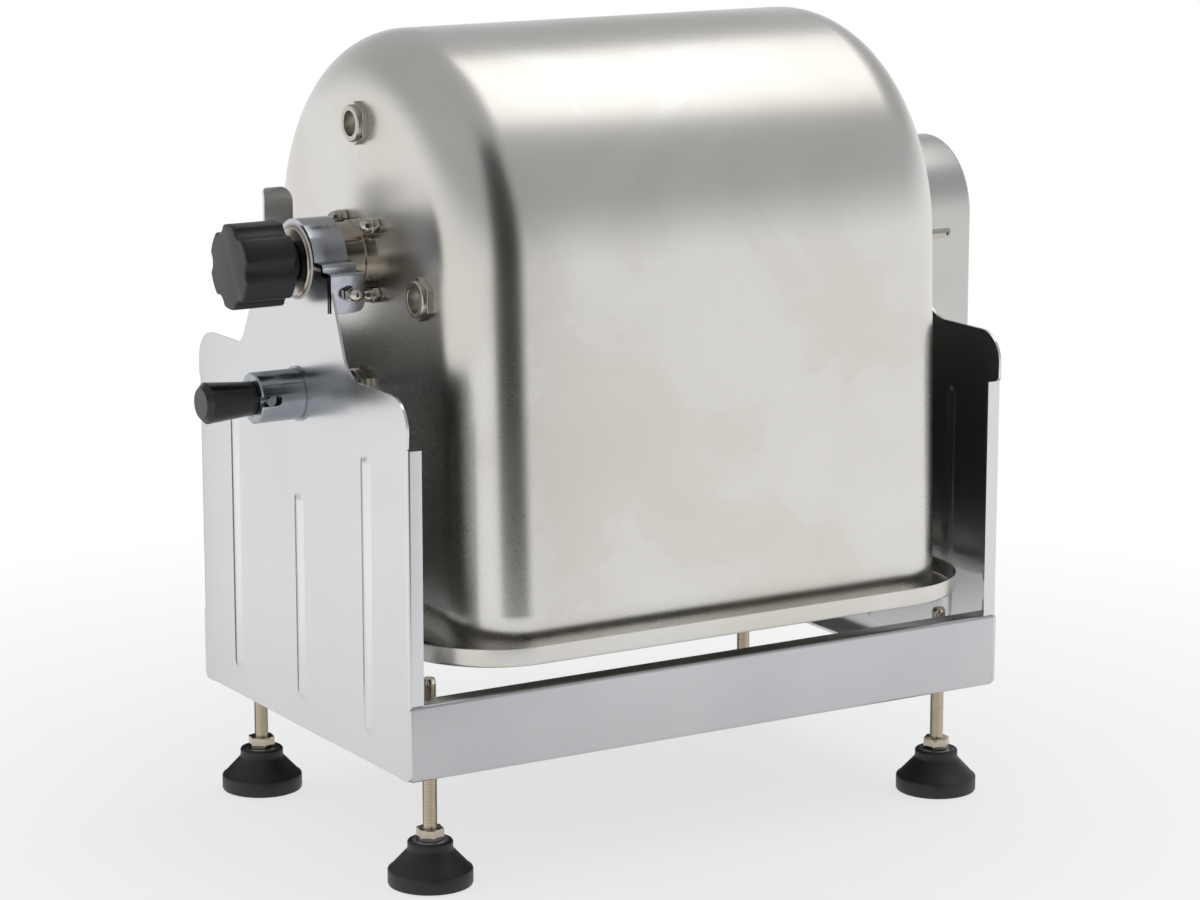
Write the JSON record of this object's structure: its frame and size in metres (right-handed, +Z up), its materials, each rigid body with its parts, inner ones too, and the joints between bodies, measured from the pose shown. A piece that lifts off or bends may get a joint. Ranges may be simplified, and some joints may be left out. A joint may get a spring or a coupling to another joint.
{
  "type": "tilting meat mixer",
  "caption": "Tabletop meat mixer: an open frame carries a tilting stainless tank with an indexed lock, a knob-held mixing shaft with paddles, a geared drive and levelling feet.",
  "frame": {"origin": "on the floor, half way between the side plates, under the mixing shaft", "axes": "+Z up; +X along the mixing shaft, from the hand knob to the gear case; +Y to the rear, away from the picture's viewer"},
  "size_m": [0.625, 0.342, 0.5619],
  "materials": {
    "tank_steel": "satin drawn sheet",
    "frame_steel": "fine brushed sheet",
    "machined_steel": "turned",
    "zinc_steel": "bright zinc",
    "bright_fasteners": "polished",
    "nickel_rod": "nickel plated",
    "gear_steel": "ground and oiled",
    "bronze": "satin",
    "white_plastic": "matt",
    "seal_rubber": "matt",
    "black_plastic": "satin",
    "foot_rubber": "satin"
  },
  "bodies": {
    "frame": {"left_side_plate": "frame_steel", "right_side_plate": "frame_steel", "front_rail": "frame_steel", "rear_rail": "frame_steel", "foot_brackets": "frame_steel", "foot_weld_nuts": "nickel_rod", "lock_barrel": "zinc_steel", "lock_spring": "zinc_steel", "bearing_strap": "bright_fasteners", "hub_liner": "white_plastic", "strap_bolts": "bright_fasteners", "strap_cap_nuts": "bright_fasteners", "right_bearing": "machined_steel", "bearing_screws": "bright_fasteners", "gear_plate": "frame_steel", "gear_case": "frame_steel", "case_pillars": "machined_steel", "case_screws": "bright_fasteners", "gear_bushes": "bronze", "idler_pin": "machined_steel"},
    "tank": {"tank_shell": "tank_steel", "tank_rim": "tank_steel", "left_hub": "machined_steel", "right_hub": "machined_steel", "hub_bolts": "bright_fasteners", "hub_cap_nuts": "bright_fasteners", "index_sockets": "machined_steel", "socket_nuts": "bright_fasteners", "stop_pin": "machined_steel", "shaft_bushes": "white_plastic", "shaft_seals": "seal_rubber"},
    "mixer": {"mixing_shaft": "machined_steel", "paddle_1": "machined_steel", "paddle_2": "machined_steel", "paddle_3": "machined_steel", "paddle_4": "machined_steel", "drive_spindle": "machined_steel", "drive_gear": "gear_steel", "drive_ring": "machined_steel"},
    "idler": {"idler_gear": "gear_steel"},
    "input": {"input_shaft": "machined_steel", "input_gear": "gear_steel", "input_ring": "machined_steel"},
    "pivot": {"pivot_pin": "machined_steel"},
    "knob": {"star_knob": "black_plastic"},
    "lock": {"lock_pin": "zinc_steel", "lock_cross_pin": "zinc_steel", "lock_handle": "black_plastic"},
    "front_left_foot": {"front_left_foot_pad": "foot_rubber", "front_left_foot_rod": "nickel_rod", "front_left_jam_nut": "nickel_rod"},
    "front_right_foot": {"front_right_foot_pad": "foot_rubber", "front_right_foot_rod": "nickel_rod", "front_right_jam_nut": "nickel_rod"},
    "rear_left_foot": {"rear_left_foot_pad": "foot_rubber", "rear_left_foot_rod": "nickel_rod", "rear_left_jam_nut": "nickel_rod"},
    "rear_right_foot": {"rear_right_foot_pad": "foot_rubber", "rear_right_foot_rod": "nickel_rod", "rear_right_jam_nut": "nickel_rod"}
  },
  "joints": [
    {"name": "tank_tilt", "type": "hinge", "parent": "frame", "child": "tank", "pos_m": [0, 0, 0.409], "axis": [1, 0, 0], "range_deg": [0, 180]},
    {"name": "shaft_spin", "type": "hinge", "parent": "frame", "child": "mixer", "pos_m": [0, 0, 0.409], "axis": [1, 0, 0], "continuous": true},
    {"name": "idler_spin", "type": "hinge", "parent": "frame", "child": "idler", "pos_m": [0.26, 0, 0.341], "axis": [1, 0, 0], "continuous": true},
    {"name": "input_spin", "type": "hinge", "parent": "frame", "child": "input", "pos_m": [0.26, 0, 0.297], "axis": [1, 0, 0], "continuous": true},
    {"name": "knob_travel", "type": "slide", "parent": "tank", "child": "pivot", "axis": [-1, 0, 0], "range_m": [0, 0.012]},
    {"name": "knob_turn", "type": "hinge", "parent": "pivot", "child": "knob", "pos_m": [-0.27, 0, 0.409], "axis": [-1, 0, 0], "range_deg": [0, 1440]},
    {"name": "lock_pull", "type": "slide", "parent": "frame", "child": "lock", "axis": [1, 0, 0], "range_m": [-0.0105, 0.0047], "stiffness_N_per_m": 600, "springref_m": 0.0047, "deforming": ["lock_spring"]},
    {"name": "front_left_foot_height", "type": "slide", "parent": "frame", "child": "front_left_foot", "axis": [0, 0, 1], "range_m": [-0.045, 0.006]},
    {"name": "front_right_foot_height", "type": "slide", "parent": "frame", "child": "front_right_foot", "axis": [0, 0, 1], "range_m": [-0.045, 0.006]},
    {"name": "rear_left_foot_height", "type": "slide", "parent": "frame", "child": "rear_left_foot", "axis": [0, 0, 1], "range_m": [-0.045, 0.006]},
    {"name": "rear_right_foot_height", "type": "slide", "parent": "frame", "child": "rear_right_foot", "axis": [0, 0, 1], "range_m": [-0.045, 0.006]}
  ],
  "couplings": [
    {"joint": "idler_spin", "follows": "shaft_spin", "ratio": -1.6154},
    {"joint": "input_spin", "follows": "shaft_spin", "ratio": 2.3333},
    {"joint": "knob_turn", "follows": "knob_travel", "rad_per_m": 2094.4}
  ]
}
